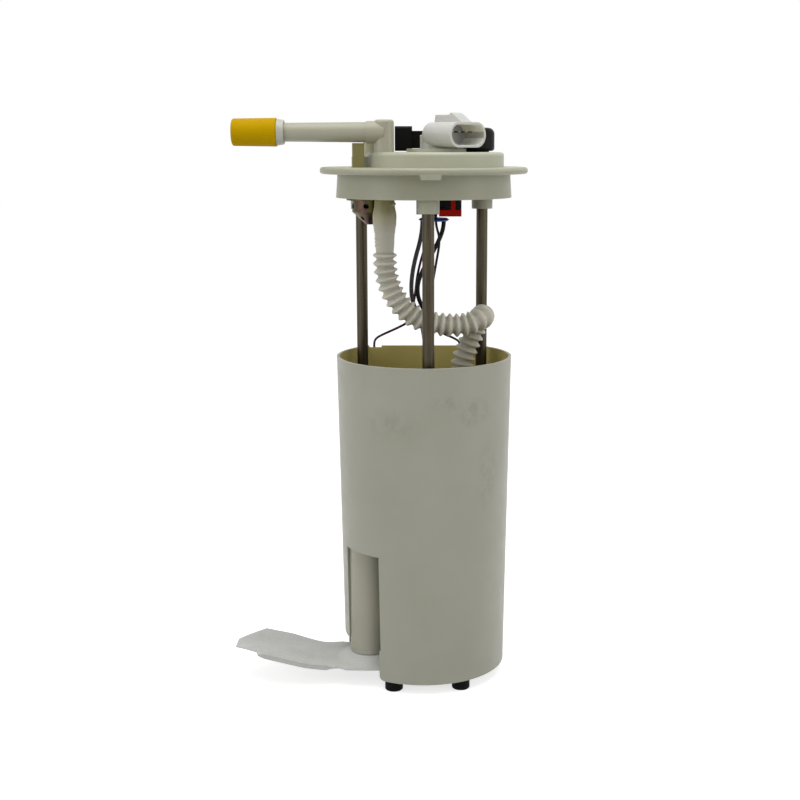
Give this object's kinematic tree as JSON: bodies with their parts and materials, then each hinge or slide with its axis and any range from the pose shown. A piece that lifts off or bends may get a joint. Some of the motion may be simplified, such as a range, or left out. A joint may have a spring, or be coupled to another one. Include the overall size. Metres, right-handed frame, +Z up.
{
  "type": "fuel pump module",
  "caption": "In-tank fuel pump module: round cover with outlet and connector on sprung guide rods over a bucket that holds the pump, strainer and level sender.",
  "frame": {"origin": "on the cover's axis, on the flange's underside that seals on the tank", "axes": "+Z up along the rods, out of the tank; -Y towards the front; the fuel outlet points to -X"},
  "size_m": [0.2053, 0.1428, 0.3985],
  "materials": {
    "reservoir_plastic": "semi-gloss natural moulding",
    "cover_plastic": "semi-gloss natural moulding",
    "outlet_plastic": "semi-gloss natural moulding",
    "collar_plastic": "smooth",
    "cap_plastic": "smooth, slightly soft",
    "connector_plastic": "smooth white",
    "black_plastic": "fine grain",
    "red_plastic": "smooth",
    "seal_rubber": "smooth",
    "black_rubber": "smooth",
    "terminal_metal": "tin plated",
    "hose_plastic": "corrugated, slightly translucent",
    "rod_steel": "drawn tube, dull",
    "spring_steel": "plain wire",
    "regulator_zinc": "yellow zinc plate",
    "pump_steel": "zinc plated",
    "pump_plastic": "fine grain",
    "motor_core": "laminated",
    "copper": "turned",
    "carbon": "pressed",
    "magnet": "ground",
    "brass": "turned",
    "felt": "fine non-woven felt",
    "sender_plastic": "fine grain",
    "card": "fired ceramic",
    "arm_steel": "bright wire",
    "float_foam": "closed-cell foam",
    "wire_black": "extruded cover",
    "wire_grey": "extruded cover",
    "wire_purple": "extruded cover"
  },
  "bodies": {
    "reservoir": {"reservoir_shell": "reservoir_plastic", "valve_cage": "pump_plastic", "jet_line": "pump_plastic", "jet_nozzle": "brass", "strainer_collar": "pump_plastic", "strainer_sock": "felt", "pump_can": "pump_steel", "pump_outlet_cap": "pump_plastic", "pump_inlet_cap": "pump_plastic", "pump_plate": "pump_plastic", "pump_brushes": "carbon", "pump_magnets": "magnet", "pump_isolator": "black_rubber", "pump_spider": "pump_plastic", "spider_rubber": "black_rubber", "inlet_screen": "felt", "fuel_hose": "hose_plastic", "sender_housing": "sender_plastic", "sender_card": "card", "foot_front_left": "black_rubber", "foot_front_right": "black_rubber", "foot_back_left": "black_rubber", "foot_back_right": "black_rubber", "pump_feed_wire": "wire_grey", "pump_ground_wire": "wire_black", "level_signal_wire": "wire_purple", "level_ground_wire": "wire_black", "spring_front": "spring_steel", "spring_right": "spring_steel", "spring_left": "spring_steel"},
    "cover": {"tank_cover": "cover_plastic", "outlet_elbow": "outlet_plastic", "line_collar": "collar_plastic", "cover_connector": "connector_plastic", "cover_terminals": "terminal_metal", "pressure_sensor": "black_plastic", "sensor_pins": "terminal_metal", "sensor_grommet": "black_rubber", "regulator_body": "regulator_zinc", "regulator_cap": "regulator_zinc", "regulator_diaphragm": "regulator_zinc", "regulator_spring": "spring_steel", "harness_plug": "black_plastic", "wire_seal": "seal_rubber", "stop_rings": "spring_steel", "guide_rod_front": "rod_steel", "guide_rod_right": "rod_steel", "guide_rod_left": "rod_steel"},
    "shipping_cap": {"shipping_cap": "cap_plastic"},
    "plug_lock": {"plug_lock": "red_plastic"},
    "check_valve": {"check_valve": "black_rubber"},
    "armature": {"pump_shaft": "pump_steel", "pump_rotor": "motor_core", "pump_commutator": "copper", "pump_impeller": "pump_plastic"},
    "float_arm": {"arm_hub": "sender_plastic", "float_arm": "arm_steel", "sender_wiper": "brass"},
    "float": {"level_float": "float_foam"}
  },
  "joints": [
    {"name": "cover_slide", "type": "slide", "parent": "reservoir", "child": "cover", "axis": [0, 0, 1], "range_m": [-0.06, 0], "stiffness_N_per_m": 300, "springref_m": 0.06, "deforming": ["spring_front", "spring_right", "spring_left", "fuel_hose", "pump_feed_wire", "pump_ground_wire", "level_signal_wire", "level_ground_wire"]},
    {"name": "pump_spin", "type": "hinge", "parent": "reservoir", "child": "armature", "pos_m": [0.017, 0.005, -0.265], "axis": [0, 0, 1], "continuous": true},
    {"name": "cap_slide", "type": "slide", "parent": "cover", "child": "shipping_cap", "axis": [-1, 0, 0], "range_m": [0, 0.04]},
    {"name": "lock_slide", "type": "slide", "parent": "cover", "child": "plug_lock", "axis": [1, 0, 0], "range_m": [0, 0.004]},
    {"name": "valve_lift", "type": "slide", "parent": "reservoir", "child": "check_valve", "axis": [0, 0, 1], "range_m": [0, 0.002]},
    {"name": "arm_swing", "type": "hinge", "parent": "reservoir", "child": "float_arm", "pos_m": [0.006, 0.0549, -0.222], "axis": [0, -1, 0], "range_deg": [0, 75]},
    {"name": "float_tilt", "type": "hinge", "parent": "float_arm", "child": "float", "pos_m": [0.02337, 0.0639, -0.32048], "axis": [0, 1, 0], "range_deg": [-90, 90]}
  ]
}
